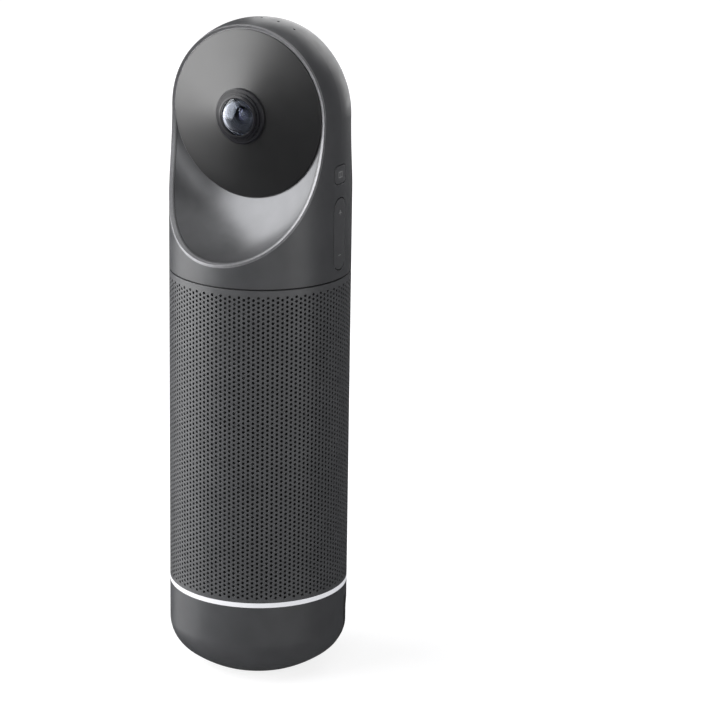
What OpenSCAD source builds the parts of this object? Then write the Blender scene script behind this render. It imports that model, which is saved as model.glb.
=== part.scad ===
// Conference camera: a round column with a two-sided camera head, a perforated
// speaker section, a light ring and a weighted base with a port bay at the rear.
// The front lens faces -Y, the buttons are on the +X side and the ports face +Y.
// The origin is the middle of the foot, on the surface that the column stands on.

/* [Column] */
// Outside diameter of the column
body_d = 82; // [74:1:100]
// Height of the middle of the light ring above the table
ring_z = 39.5; // [38:0.5:56]
// Middle of the light ring to the seam under the head
grille_h = 147.9; // [120:0.1:220]
// Seam under the head to the lens axis
head_h = 72.2; // [70:0.1:90]

/* [Shells] */
// Wall of the head shell
head_wall = 2.4; // [2:0.1:3]
// Wall of the base shell
base_wall = 2.5; // [2:0.1:3.2]
// Thickness of the perforated grille
grille_wall = 1; // [0.8:0.1:1.3]
// Thickness of the sound cloth behind the grille
cloth_t = 0.5; // [0.3:0.1:0.8]
// Height of the groove between the grille and the head
seam_gap = 0.7; // [0.4:0.1:1.2]
// Height of the light ring
ring_h = 2.2; // [1.6:0.1:4]
// Radial width of the light ring
ring_w = 4.2; // [3.4:0.1:5]

/* [Base] */
// Radius of the rounding where the wall turns in
side_r = 16.4; // [13:0.1:19]
// Angle at which this rounding passes into the flatter belly
turn_angle = 52.5; // [48:0.5:56]
// Radius of the flat underside
flat_r = 24.6; // [23.5:0.1:26]
// Thickness of the base floor
floor_t = 2.4; // [2:0.1:3]
// Outside radius of the rubber foot
foot_r = 22; // [18:0.5:23]
// How far the rubber foot stands below the base
foot_proud = 0.8; // [0.6:0.1:1.2]
// Depth of the groove that holds the rubber foot
foot_groove = 0.8; // [0.5:0.1:1.2]

/* [Port bay] */
// Distance from the side of the column to the inside of the bay
bay_side = 3; // [3:0.5:7]
// Inside height of the bay
bay_h = 26; // [22:0.5:27]
// Distance from the column axis to the port face
bay_y = 8; // [7.5:0.5:14]
// Wall of the bay
bay_wall = 1.6; // [1.2:0.1:2]
// Radius of the corners of the bay
bay_corner = 6; // [3:0.5:9]

/* [Head cut] */
// Distance from the middle plane to the flat of the cut
cut_s = 11.4; // [10:0.1:13]
// Rim from the edge of the cut to its flat, measured along the cut
cut_rim = 1.38; // [1:0.02:1.6]
// Radius of the dish below the flat
dish_r = 47.5; // [42:0.5:56]
// Height at which the dish reaches the shell, below the lens axis
dish_drop = 62.3; // [58:0.1:66]
// Thickness of the dish panel
dish_t = 2; // [1.5:0.1:2.4]
// Width of the bright edge on the outside of the shell
edge_w = 1.1; // [0.7:0.1:1.6]
// Depth of the bright edge into the shell
edge_t = 1.6; // [1.2:0.1:1.8]

/* [Face and lens] */
// Rim from the edge of the cut to the glossy face, measured along the cut
face_rim = 1.78; // [1.7:0.02:2.4]
// Height of the cone of the face
face_rise = 5.6; // [3:0.1:7]
// Thickness of the face
face_t = 1.6; // [1.2:0.1:2.2]
// Outside radius of the lens ring
lens_ring_r = 12.5; // [11.5:0.1:15]
// Radius of the front glass
glass_r = 8.2; // [7:0.1:9]
// Height of the front glass above its edge
glass_rise = 4; // [3:0.1:5]
// Distance from the middle plane to the tip of the glass
glass_tip = 25; // [24:0.1:28]

/* [Buttons] */
// Width of the mode button
mode_w = 9.2; // [8:0.1:12]
// Height of the mode button
mode_h = 8; // [7:0.1:9]
// Corner radius of the mode button
mode_corner = 2.2; // [1.5:0.1:3.5]
// Middle of the mode button below the lens axis
mode_drop = 24.5; // [23:0.1:26]
// Travel of the mode button
mode_travel = 0.5; // [0.3:0.1:0.7]
// Width of the volume rocker
rocker_w = 9.6; // [8:0.1:12]
// Height of the volume rocker
rocker_h = 32.3; // [26:0.1:34]
// Middle of the volume rocker below the lens axis
rocker_drop = 51.5; // [50:0.1:54]
// Gap around the buttons
button_gap = 0.4; // [0.35:0.05:0.6]
// Thickness of the button caps
cap_t = 2.2; // [1.8:0.1:2.4]
// Radius of the rocker pin
pin_r = 1; // [0.8:0.1:1.2]

/* [Speaker] */
// Height of the speaker box
box_h = 78; // [66:1:94]
// Radius of the speaker box
box_r = 36.5; // [32:0.5:37]
// Distance from the axis to the flat faces of the speaker box
baffle_y = 27; // [25:0.5:29]
// Wall of the speaker box
box_wall = 2.6; // [2:0.1:3.2]
// Radius of the loudspeaker frame
driver_r = 23; // [20:0.5:23.5]
// Depth of the loudspeaker basket
basket_h = 14; // [12:0.5:16]
// Radius of the voice coil
coil_r = 5.7; // [5:0.1:7]

/* [Fits] */
// Gap between parts that only lie beside each other
fit = 0.1; // [0.05:0.05:0.2]
// Gap around the parts that move
run_gap = 0.4; // [0.35:0.05:0.6]
// Radius of the tripod thread
tripod_r = 3.175; // [2.5:0.005:3.2]
// Depth of the tripod thread
tripod_depth = 8; // [6:0.5:10]
// Radius of the screw shanks
screw_r = 1.25; // [1:0.05:1.5]

/* [Hidden] */
$fn = 96;
part_r = body_d / 2;
bay_w = body_d - 2 * bay_side;
cut_edge_r = sqrt(pow(part_r, 2) - pow(cut_s, 2));
cut_flat_r = cut_edge_r - cut_rim;
face_r = cut_edge_r - face_rim;
seam_z = ring_z + grille_h;
lens_z = seam_z + head_h;
ring_z0 = ring_z - ring_h / 2;
ring_z1 = ring_z + ring_h / 2;

// Base: a rounding that passes at turn_angle into a ball-shaped belly, cut off flat
base_z0 = foot_proud;
side_x = part_r - side_r;
belly_r = side_x / cos(turn_angle) + side_r;
belly_z = base_z0 + sqrt(pow(belly_r, 2) - pow(flat_r, 2));
edge_z = belly_z - (belly_r - side_r) * sin(turn_angle);
floor_z = base_z0 + floor_t;
bay_top = ring_z - 8;
bay_z0 = bay_top - bay_h;
bay_back = bay_y - bay_wall;
ledge_w = 0.9;
deck_t = 2.4;
deck_z = bay_top + bay_wall + 0.9;
deck_r = part_r - base_wall - fit;
plate_t = 2;
plate_z1 = floor_z + plate_t;
board_t = 1.6;
port_board_z = bay_z0 + 7.5;
ballast_z1 = port_board_z - board_t - 0.8;
ballast_mid = (plate_z1 + ballast_z1) / 2;
insert_r = tripod_r + 1.6;
insert_flange_r = insert_r + 1.4;
insert_flange_t = 1.5;
screw_head_r = 2.3;
screw_head_h = 1.1;
foot_hole_r = 9;
post_r = 2.4;

FRONT = -1;
REAR = 1;

// Ports from left to right as seen from behind: [width, height, depth]
AUDIO = 0;
USB = 1;
HDMI = 2;
LAN = 3;
POWER = 4;
port_size = [[7, 6, 12], [9, 3.3, 8.5], [15, 5.8, 11.5], [16, 13.4, 17], [9.4, 11, 13]];
port_count = len(port_size);
port_w_sum = port_size[AUDIO][0] + port_size[USB][0] + port_size[HDMI][0]
    + port_size[LAN][0] + port_size[POWER][0];
port_space = (bay_w - port_w_sum) / (port_count + 1);
function widths_before(i) = i == 0 ? 0 : port_size[i - 1][0] + widths_before(i - 1);
function port_x(i) = -bay_w / 2 + port_space * (i + 1) + widths_before(i) + port_size[i][0] / 2;

// Middle section, from the light ring up
liner_r = part_r - grille_wall - fit;
inside_r = liner_r - cloth_t;
grille_z1 = seam_z - seam_gap / 2;
head_z0 = seam_z + seam_gap / 2;
bulkhead_t = 4.4;
bulkhead_z0 = seam_z - bulkhead_t;
spigot_h = 4;
cable_room = 3;
box_z1 = bulkhead_z0 - cable_room;
box_z0 = box_z1 - box_h;
frame_t = 2.4;
frame_z0 = deck_z + deck_t;
frame_z1 = box_z0;
frame_low_r = part_r - base_wall - 9;
post_x = 28;
post_y = 12;
frame_post_r = 3;
main_board_w = 50;
main_board_gap = 7;
main_board_z0 = frame_z0 + frame_t + main_board_gap;
main_board_z1 = frame_z1 - frame_t - main_board_gap;
main_board_h = main_board_z1 - main_board_z0;
connector_x = 9;
connector_z1 = main_board_z1 - 1.5;
led_board_t = 1.2;
led_h = 0.6;

// Loudspeaker, measured inwards from the flat face of its box
driver_z = (box_z0 + box_z1) / 2;
frame_lip = 2;
surround_w = 2.6;
surround_out = driver_r - 3.2;
cone_r = surround_out - surround_w - run_gap;
basket_r = driver_r - 2;
magnet_r = 14;
magnet_h = 10;
basket_floor = 1.2;
gap_depth = 8;
coil_t = 0.35;
coil_room = 0.7;
cone_travel = 2;
radiator_travel = 3;
radiator_t = 3;

// Head
cut_flat_dist = (dish_drop + cut_flat_r) / 2;
dish_mid_s = (part_r + cut_s) / 2;
dish_half = norm([dish_drop - cut_flat_r, part_r - cut_s]) / 2;
dish_back = sqrt(pow(dish_r, 2) - pow(dish_half, 2));
dish_dir = [part_r - cut_s, -(dish_drop - cut_flat_r)] / (2 * dish_half);
dish_x = cut_flat_dist - dish_back * dish_dir[0];
dish_s = dish_mid_s - dish_back * dish_dir[1];
head_inner_r = part_r - head_wall;
face_s = cut_s + fit;
face_lip = 0.5;
face_overlap = 0.5;
face_top = face_s + face_lip + face_rise;
glass_ball_r = (pow(glass_r, 2) + pow(glass_rise, 2)) / (2 * glass_rise);
glass_edge = glass_tip - glass_rise;
glass_t = 2.2;
lens_wall = 1.2;
chassis_t = 2.5;
sensor_t = 1.2;
sensor_s = chassis_t / 2 + 2;
sensor_w = 24;
barrel_s0 = sensor_s + sensor_t;
ring_step = 0.9;
mic_angles = [-24, -12, 0, 12, 24];
mic_hole_r = 0.65;
mic_board_r = head_inner_r - 1.4;
mic_board_t = 0.8;
mic_board_w = 7;

// Buttons, measured along +X
rocker_end_gap = button_gap + 0.2;
rocker_travel = 2;
cap_in = part_r - cap_t;
plate_x = head_inner_r - 9;
button_plate_t = 2;
button_board_t = 1.2;
switch_x = plate_x + button_board_t;
switch_h = 1.8;
switch_top = switch_x + switch_h;
stem_x = switch_top + mode_travel + 0.35;
pivot_x = head_inner_r - 2.6;
pivot_boss_r = pin_r + 1.1;
pivot_z = lens_z - rocker_drop;
mode_z = lens_z - mode_drop;
lug_t = 2;
lug_y = rocker_w / 2 + run_gap;
button_plate_z0 = head_z0 + spigot_h;
button_plate_z1 = mode_z + mode_h / 2 + 5.5;
button_plate_w = 2 * (lug_y + lug_t);
rocker_pad_z = 11;

body_grey = [0.27, 0.27, 0.28];
bright_grey = [0.62, 0.63, 0.65];
face_black = [0.05, 0.05, 0.055];
board_green = [0.07, 0.2, 0.13];
steel = [0.6, 0.61, 0.63];
plastic_black = [0.08, 0.08, 0.085];

// ---------------------------------------------------------------- helpers

// Half outline of the base, set in by inset, between two heights
module base_outline(inset, low, high) {
    turn_x = side_x + (side_r - inset) * cos(turn_angle);
    intersection() {
        translate([0, low]) square([part_r, high - low]);
        union() {
            translate([0, edge_z]) square([part_r - inset, high - edge_z]);
            intersection() {
                translate([side_x, edge_z]) circle(side_r - inset, $fn = 288);
                translate([turn_x, low - 1]) square([part_r, edge_z - low + 1]);
            }
            intersection() {
                translate([0, belly_z]) circle(belly_r - inset, $fn = 360);
                translate([0, low - 1]) square([turn_x, edge_z - low + 1]);
            }
        }
    }
}

// Radius of that outline at height z
function base_radius(inset, z) =
    z >= edge_z ? part_r - inset
    : z >= edge_z - (side_r - inset) * sin(turn_angle)
    ? side_x + sqrt(pow(side_r - inset, 2) - pow(edge_z - z, 2))
    : sqrt(pow(belly_r - inset, 2) - pow(belly_z - z, 2));

// Radius that a part inside the base may have from height z up
function inner_room(z) = base_radius(base_wall + ledge_w, z) - 0.4;

// Solid of the base, set in by inset
module base_solid(inset, low, high) {
    rotate_extrude($fn = 192) base_outline(inset, low, high);
}

// Flat ring
module ring(inner_r, outer_r, low, high) {
    translate([0, 0, low]) difference() {
        cylinder(r = outer_r, h = high - low);
        translate([0, 0, -1]) cylinder(r = inner_r, h = high - low + 2);
    }
}

// Block between two corners
module block(low, high) {
    translate(low) cube(high - low);
}

// Bar along Y with a rounded outline, w wide and h high
module rounded_bar(w, h, corner, y0, y1) {
    translate([0, y1, 0]) rotate([90, 0, 0]) linear_extrude(y1 - y0) rounded_outline(w, h, corner);
}

module rounded_outline(w, h, corner) {
    square([w - 2 * corner, h], center = true);
    square([w, h - 2 * corner], center = true);
    for (x = [-1, 1], y = [-1, 1])
        translate([x * (w / 2 - corner), y * (h / 2 - corner)]) circle(corner, $fn = 48);
}

// Screw that points up, with its head below z = 0
module screw(length) {
    translate([0, 0, -screw_head_h]) cylinder(r = screw_head_r, h = screw_head_h, $fn = 32);
    cylinder(r = screw_r, h = length, $fn = 32);
}

// Everything outside the bay, as the block that its walls fill
module bay_block(gap) {
    block(
        [-bay_w / 2 - bay_wall - gap, bay_back - gap, bay_z0 - bay_wall - gap],
        [bay_w / 2 + bay_wall + gap, part_r + 1, bay_top + bay_wall + gap]);
}

// Puts a shape drawn around the Z axis around the lens axis, facing out
module at_lens(side) {
    translate([0, 0, lens_z]) rotate([-90 * side, 0, 0]) children();
}

// Round-topped solid of the head with a given radius, open-ended below low
module head_solid(r, low) {
    translate([0, 0, low]) cylinder(r = r, h = lens_z - low);
    translate([0, 0, lens_z]) sphere(r, $fn = 192);
}

// Space in front of the head: a flat round the lens that turns into a dish
module cutter(grow) {
    rotate_extrude($fn = 192) intersection() {
        translate([dish_x, dish_s]) circle(dish_r + grow, $fn = 192);
        translate([0, cut_s - grow]) square([part_r * 2, part_r - cut_s + grow + 3]);
    }
}

// ------------------------------------------------------------------- base

module base_screw_places() {
    for (x = [-1, 1], y = [-9, 3]) translate([x * 12, y, 0]) children();
}

module board_post_places() {
    for (x = [-1, 1]) {
        translate([x * 19, -10, 0]) children();
        translate([x * 20, 0, 0]) children();
    }
}

module foot_pad() {
    color([0.05, 0.05, 0.05]) ring(foot_hole_r, foot_r, 0, base_z0 + foot_groove);
}

module base_shell() {
    color(body_grey) difference() {
        base_solid(0, base_z0, ring_z0);
        base_solid(base_wall + ledge_w, floor_z, deck_z);
        translate([0, 0, deck_z]) cylinder(r = part_r - base_wall, h = ring_z0);
        ring(foot_hole_r - fit, foot_r + fit, base_z0 - 1, base_z0 + foot_groove);
        cylinder(r = insert_r + fit, h = floor_z + 1);
        base_screw_places() {
            cylinder(r = screw_r + fit, h = floor_z + 1, $fn = 32);
            cylinder(r = screw_head_r + fit, h = base_z0 + foot_groove + screw_head_h, $fn = 32);
        }
        bay_block(0);
    }
}

module base_plate() {
    color(steel) difference() {
        union() {
            intersection() {
                base_solid(base_wall + ledge_w + fit, floor_z, plate_z1);
                block([-part_r, -part_r, 0], [part_r, bay_back - fit, part_r]);
            }
            board_post_places() translate([0, 0, plate_z1 - 0.5])
                cylinder(r = post_r, h = port_board_z - board_t - plate_z1 + 0.5, $fn = 32);
        }
        cylinder(r = insert_r + fit, h = plate_z1 + 1);
        base_screw_places() cylinder(r = screw_r + fit, h = plate_z1 + 1, $fn = 32);
    }
}

module ballast() {
    color([0.3, 0.3, 0.31]) difference() {
        intersection() {
            union() {
                translate([0, 0, plate_z1]) cylinder(r = inner_room(plate_z1), h = ballast_z1 - plate_z1);
                translate([0, 0, ballast_mid]) cylinder(r = inner_room(ballast_mid), h = ballast_z1 - ballast_mid);
            }
            block([-part_r, -part_r, 0], [part_r, bay_back - 0.4, part_r]);
        }
        cylinder(r = insert_flange_r + 0.3, h = part_r);
        board_post_places() cylinder(r = post_r + 0.3, h = part_r, $fn = 32);
        base_screw_places() cylinder(r = screw_r + fit, h = part_r, $fn = 32);
    }
}

module tripod_insert() {
    color([0.7, 0.58, 0.3]) difference() {
        union() {
            translate([0, 0, base_z0]) cylinder(r = insert_r, h = tripod_depth + 2);
            translate([0, 0, plate_z1]) cylinder(r = insert_flange_r, h = insert_flange_t);
        }
        cylinder(r = tripod_r, h = base_z0 + tripod_depth);
    }
}

module base_screws() {
    color(steel) translate([0, 0, base_z0 + foot_groove + screw_head_h])
        base_screw_places() screw(ballast_z1 - floor_z - 1);
}

// --------------------------------------------------------------- port bay

module port_places(i) {
    translate([port_x(i), bay_y, port_board_z]) children();
}

// Body of port i, behind the port face and on its board
module port_body(i) {
    size = port_size[i];
    port_places(i) translate([-size[0] / 2, -size[2], 0]) cube([size[0], size[2] - fit, size[1]]);
}

module port_window(i) {
    size = port_size[i];
    port_places(i) translate([-size[0] / 2 - fit, -size[2], -fit])
        cube([size[0] + 2 * fit, size[2] + 1, size[1] + 2 * fit]);
}

module port_bay() {
    color([0.12, 0.12, 0.125]) difference() {
        intersection() {
            base_solid(0, base_z0, ring_z0);
            bay_block(-fit);
        }
        translate([0, 0, bay_z0 + bay_h / 2])
            rounded_bar(bay_w, bay_h, bay_corner, bay_y, part_r + 2);
        for (i = [USB, HDMI, LAN]) port_window(i);
        for (i = [AUDIO, POWER]) port_places(i) translate([0, 1, port_size[i][1] / 2])
            rotate([90, 0, 0]) cylinder(r = port_size[i][1] / 2 - 0.6, h = bay_wall * 3, $fn = 48);
    }
}

module port_board() {
    color(board_green) intersection() {
        translate([0, 0, port_board_z - board_t])
            cylinder(r = inner_room(port_board_z - board_t), h = board_t);
        block([-bay_w / 2, bay_back - 20, 0], [bay_w / 2, bay_back - 0.2, part_r]);
    }
}

// Round jack: a block behind the port face with a collar through it
module round_jack(i, bore_r) {
    size = port_size[i];
    port_places(i) difference() {
        union() {
            translate([-size[0] / 2, -size[2], 0]) cube([size[0], size[2] - bay_wall - fit, size[1]]);
            translate([0, -0.2, size[1] / 2]) rotate([90, 0, 0])
                cylinder(r = size[1] / 2 - 0.7, h = bay_wall + 1, $fn = 48);
        }
        translate([0, 1, size[1] / 2]) rotate([90, 0, 0]) cylinder(r = bore_r, h = size[2] - 2, $fn = 48);
    }
}

module audio_jack() {
    color(plastic_black) round_jack(AUDIO, 1.8);
}

module power_jack() {
    size = port_size[POWER];
    color(plastic_black) {
        round_jack(POWER, 3.1);
        port_places(POWER) translate([0, -1.4, size[1] / 2]) rotate([90, 0, 0])
            cylinder(r = 0.9, h = size[2] - 2.5, $fn = 32);
    }
}

// Metal shell of a port with a rectangular mouth and a tongue
module tongue_port(i, wall, tongue_w, tongue_h) {
    size = port_size[i];
    color(steel) difference() {
        port_body(i);
        port_places(i) translate([-size[0] / 2 + wall, -size[2] + 1.5, wall])
            cube([size[0] - 2 * wall, size[2], size[1] - 2 * wall]);
    }
    color(plastic_black) port_places(i)
        translate([-tongue_w / 2, -size[2] + 1.5 - fit, (size[1] - tongue_h) / 2])
        cube([tongue_w, size[2] - 3, tongue_h]);
}

module usb_c_port() {
    tongue_port(USB, 0.4, 6.6, 0.7);
}

module hdmi_port() {
    tongue_port(HDMI, 0.5, 12.6, 1.3);
}

module lan_port() {
    size = port_size[LAN];
    plug_w = 11.9;
    plug_h = 8;
    latch_w = 6;
    latch_h = 2.2;
    color(steel) difference() {
        port_body(LAN);
        port_places(LAN) {
            translate([-plug_w / 2, -size[2] + 3, 1.2]) cube([plug_w, size[2], plug_h]);
            translate([-latch_w / 2, -size[2] + 6, 1]) cube([latch_w, size[2], plug_h + latch_h]);
        }
    }
}

// ----------------------------------------------------- light ring and deck

module frame_post_places() {
    for (x = [-1, 1], y = [-1, 1]) translate([x * post_x, y * post_y, 0]) children();
}

module deck() {
    color(plastic_black) difference() {
        translate([0, 0, deck_z]) cylinder(r = deck_r, h = deck_t);
        translate([0, 0, deck_z - 1]) cylinder(r = 14, h = deck_t + 2);
        frame_screw_places() cylinder(r = screw_r + fit, h = frame_z1, $fn = 32);
    }
}

module frame_screw_places() {
    for (a = [0, 90, 180, 270]) rotate([0, 0, a + 45]) translate([frame_low_r - 5, 0, 0]) children();
}

module led_board() {
    leds = 24;
    color("white") ring(frame_low_r + 0.4, deck_r - 0.2, frame_z0, frame_z0 + led_board_t);
    color([0.95, 0.9, 0.6]) for (i = [0:leds - 1])
        rotate([0, 0, i * 360 / leds]) translate([part_r - ring_w - 1, -1.4, frame_z0 + led_board_t - 0.05])
            cube([2, 2.8, led_h + 0.05]);
}

module light_ring() {
    color([0.97, 0.97, 1]) ring(part_r - ring_w, part_r, ring_z0, ring_z1);
}

module grille() {
    color(body_grey) ring(part_r - grille_wall, part_r, ring_z1, grille_z1);
}

module sound_cloth() {
    color([0.03, 0.03, 0.03]) ring(inside_r, liner_r, ring_z1, bulkhead_z0 - fit);
}

// ------------------------------------------------------------ electronics

module electronics_frame() {
    color(plastic_black) difference() {
        union() {
            translate([0, 0, frame_z0]) cylinder(r = frame_low_r, h = frame_t);
            translate([0, 0, frame_z1 - frame_t]) cylinder(r = inside_r - 0.4, h = frame_t);
            frame_post_places() translate([0, 0, frame_z0 + frame_t / 2])
                cylinder(r = frame_post_r, h = frame_z1 - frame_z0 - frame_t, $fn = 48);
            for (x = [-1, 1]) main_board_clip(x);
        }
        translate([0, 0, frame_z0 - 1]) cylinder(r = 14, h = frame_t + 2);
        translate([0, 0, frame_z1 - frame_t - 1]) difference() {
            cylinder(r = inside_r + 1, h = frame_t + 2);
            translate([0, -part_r, -1]) translate([-box_r, 0, 0]) cube([2 * box_r, 2 * part_r, frame_t + 4]);
        }
        frame_screw_places() cylinder(r = screw_r + fit, h = frame_z1, $fn = 32);
    }
}

// Slotted rib between the plates that holds one edge of the main board
module main_board_clip(side) {
    slot = board_t + 2 * fit;
    difference() {
        translate([side * (main_board_w / 2 + 1), 0, (frame_z0 + frame_z1) / 2])
            cube([4, board_t + 3, frame_z1 - frame_z0 - frame_t], center = true);
        translate([side * (main_board_w / 2 - 1), 0, (frame_z0 + frame_z1) / 2])
            cube([4, slot, frame_z1 - frame_z0 - 2 * frame_t], center = true);
    }
}

module frame_screws() {
    color(steel) frame_screw_places() translate([0, 0, frame_z0 + frame_t + screw_head_h])
        rotate([180, 0, 0]) translate([0, 0, screw_head_h]) screw(frame_t + deck_t);
}

module main_board() {
    color(board_green) translate([-main_board_w / 2, -board_t / 2, main_board_z0])
        cube([main_board_w, board_t, main_board_h]);
    color(plastic_black) translate([-9, -board_t / 2 - 1.4, (main_board_z0 + main_board_z1) / 2 - 9])
        cube([18, 1.4, 18]);
    color("white") for (turn = [0, 180]) rotate([0, 0, turn]) block(
        [connector_x - 1, -board_t / 2 - 2.8, connector_z1 - 4], [connector_x + 9, -board_t / 2, connector_z1]);
}

module processor_heatsink() {
    fins = 8;
    sink_w = 34;
    sink_h = main_board_h - 12;
    sink_y = -board_t / 2 - 1.4;
    fin_t = 1.4;
    pitch = (sink_w - fin_t) / (fins - 1);
    color([0.75, 0.76, 0.78]) translate([-sink_w / 2, 0, main_board_z0 + 6]) {
        translate([0, sink_y - 3, 0]) cube([sink_w, 3, sink_h]);
        for (i = [0:fins - 1]) translate([i * pitch, sink_y - 13, 0]) cube([fin_t, 10.5, sink_h]);
    }
}

module shield_cans() {
    can_t = 2.4;
    middle = (main_board_z0 + main_board_z1) / 2;
    color(steel) {
        translate([-21, board_t / 2, middle - 10]) cube([17, can_t, 20]);
        translate([2, board_t / 2, middle - 8]) cube([20, can_t, 16]);
    }
}

module wifi_antennas() {
    antenna_t = 0.8;
    antenna_h = 12;
    color([0.1, 0.1, 0.3]) for (x = [-1, 1])
        translate([x * (post_x + frame_post_r + antenna_t / 2), 0, frame_z1 - frame_t - antenna_h / 2 - 4])
            cube([antenna_t, 2 * post_y + 2, antenna_h], center = true);
}

// ---------------------------------------------------------------- speaker

module box_outline(inset) {
    intersection() {
        circle(box_r - inset);
        square([2 * box_r, 2 * (baffle_y - inset)], center = true);
    }
}

// Puts a shape drawn around Z, going up into the box, on its front or rear face
module at_baffle(side) {
    translate([0, side * baffle_y, driver_z]) rotate([side * 90, 0, 0]) children();
}

module speaker_box() {
    color([0.1, 0.1, 0.1]) difference() {
        translate([0, 0, box_z0]) linear_extrude(box_h) box_outline(0);
        translate([0, 0, box_z0 + box_wall]) linear_extrude(box_h - 2 * box_wall) box_outline(box_wall);
        for (side = [FRONT, REAR]) at_baffle(side) translate([0, 0, -1])
            cylinder(r = basket_r + 0.3, h = box_wall + 2);
        driver_screw_places() cylinder(r = screw_r, h = 6, $fn = 32);
    }
}

module driver_screw_places() {
    for (side = [FRONT, REAR], a = [45, 135, 225, 315]) at_baffle(side)
        rotate([0, 0, a]) translate([driver_r - 0.2, 0, -1]) children();
}

// Lip of the frame with its screw ears, common to both faces of the box
module baffle_lip() {
    difference() {
        union() {
            translate([0, 0, -frame_lip]) cylinder(r = driver_r, h = frame_lip);
            for (a = [45, 135, 225, 315]) rotate([0, 0, a]) translate([driver_r - 0.2, 0, -frame_lip])
                cylinder(r = 2.6, h = frame_lip, $fn = 32);
        }
        translate([0, 0, -frame_lip - 1]) cylinder(r = surround_out, h = frame_lip + 2);
        for (a = [45, 135, 225, 315]) rotate([0, 0, a]) translate([driver_r - 0.2, 0, -frame_lip - 1])
            cylinder(r = screw_r + fit, h = frame_lip + 2, $fn = 32);
    }
}

module driver_frame() {
    foot_in = magnet_r - 1;
    color(steel) at_baffle(FRONT) {
        baffle_lip();
        rotate_extrude() polygon([
            [surround_out, -fit], [basket_r, -fit], [foot_in, basket_h + basket_floor],
            [coil_r + 2, basket_h + basket_floor], [coil_r + 2, basket_h],
            [foot_in - 0.8, basket_h], [surround_out, 1.4]]);
    }
}

module driver_magnet() {
    color([0.2, 0.2, 0.21]) at_baffle(FRONT) translate([0, 0, basket_h + basket_floor]) difference() {
        cylinder(r = magnet_r, h = magnet_h);
        ring(coil_r - coil_room, coil_r + coil_t + coil_room, -1, gap_depth);
    }
}

module driver_surround() {
    color([0.04, 0.04, 0.04]) at_baffle(FRONT) surround();
}

// Half-round roll of rubber
module surround() {
    mid_r = surround_out - surround_w / 2;
    rotate_extrude() translate([mid_r, -0.4]) difference() {
        circle(surround_w / 2 - 0.02, $fn = 48);
        circle(surround_w / 2 - 0.6, $fn = 48);
        translate([-surround_w, 0]) square([2 * surround_w, surround_w]);
    }
}

module driver_cone() {
    paper = 0.6;
    neck = basket_h - 6;
    color([0.09, 0.09, 0.1]) at_baffle(FRONT) {
        rotate_extrude() polygon([
            [coil_r, neck], [cone_r, 0], [cone_r, paper], [coil_r + coil_t, neck + paper * 2],
            [coil_r + coil_t, basket_h + basket_floor + gap_depth - 3],
            [coil_r, basket_h + basket_floor + gap_depth - 3]]);
        translate([0, 0, neck]) cylinder(r = coil_r, h = paper);
    }
}

module driver_screws() {
    color(steel) for (side = [FRONT, REAR], a = [45, 135, 225, 315]) at_baffle(side)
        rotate([0, 0, a]) translate([driver_r - 0.2, 0, -frame_lip]) screw(5);
}

module radiator_frame() {
    color(steel) at_baffle(REAR) baffle_lip();
}

module radiator_surround() {
    color([0.04, 0.04, 0.04]) at_baffle(REAR) surround();
}

module radiator_plate() {
    color([0.25, 0.25, 0.26]) at_baffle(REAR) {
        translate([0, 0, -radiator_t / 2]) cylinder(r = cone_r, h = radiator_t);
        translate([0, 0, radiator_t / 2 - fit]) cylinder(r = cone_r - 7, h = 2);
    }
}

// One flat cable per sensor: down the head, out over the box, down its side
// and back in to a connector at the top of the main board
module ribbon_cables() {
    strip_t = 0.4;
    half_w = 4;
    drop_s = 7;
    run_s0 = drop_s + 2;
    run_s1 = board_t / 2 + 2;
    top_z = lens_z - sensor_w / 2 - 2;
    out_x = box_r + 0.9;
    under_z = bulkhead_z0 - cable_room / 2;
    over_z = frame_z1 - frame_t - 3;
    color([0.75, 0.5, 0.2]) for (turn = [0, 180]) rotate([0, 0, turn]) {
        block([-half_w, -sensor_s - sensor_t, top_z], [half_w, -sensor_s - sensor_t + strip_t, top_z + 2]);
        block([-half_w, -drop_s, top_z - strip_t], [half_w, -sensor_s - sensor_t + strip_t, top_z]);
        block([-half_w, -drop_s - strip_t, under_z], [half_w, -drop_s, top_z]);
        block([-half_w, -run_s0, under_z], [out_x, -run_s1, under_z + strip_t]);
        block([out_x, -run_s0, over_z], [out_x + strip_t, -run_s1, under_z + strip_t]);
        block([connector_x, -run_s0, over_z], [out_x, -run_s1, over_z + strip_t]);
        block([connector_x, -run_s1 - strip_t, connector_z1], [connector_x + 8, -run_s1, over_z + strip_t]);
    }
}

// ------------------------------------------------------------ head, inside

module bulkhead_screw_places() {
    for (x = [-1, 1], y = [-1, 1]) translate([x * 15, y * 5, 0]) children();
}

module bulkhead() {
    color(plastic_black) difference() {
        union() {
            translate([0, 0, bulkhead_z0]) cylinder(r = part_r - grille_wall - fit * 2, h = head_z0 - bulkhead_z0);
            translate([0, 0, head_z0 - 1]) cylinder(r = head_inner_r - fit, h = spigot_h + 1);
        }
        for (side = [-1, 1]) translate([0, side * 7.2, bulkhead_z0])
            cube([12, 2, 4 * bulkhead_t], center = true);
        bulkhead_screw_places() translate([0, 0, bulkhead_z0 - 1]) {
            cylinder(r = screw_r + fit, h = 3 * bulkhead_t, $fn = 32);
            cylinder(r = screw_head_r + fit, h = 1 + screw_head_h, $fn = 32);
        }
    }
}

module bulkhead_screws() {
    color(steel) bulkhead_screw_places() translate([0, 0, bulkhead_z0 + screw_head_h])
        screw(head_z0 + spigot_h - bulkhead_z0 + 1);
}

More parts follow.
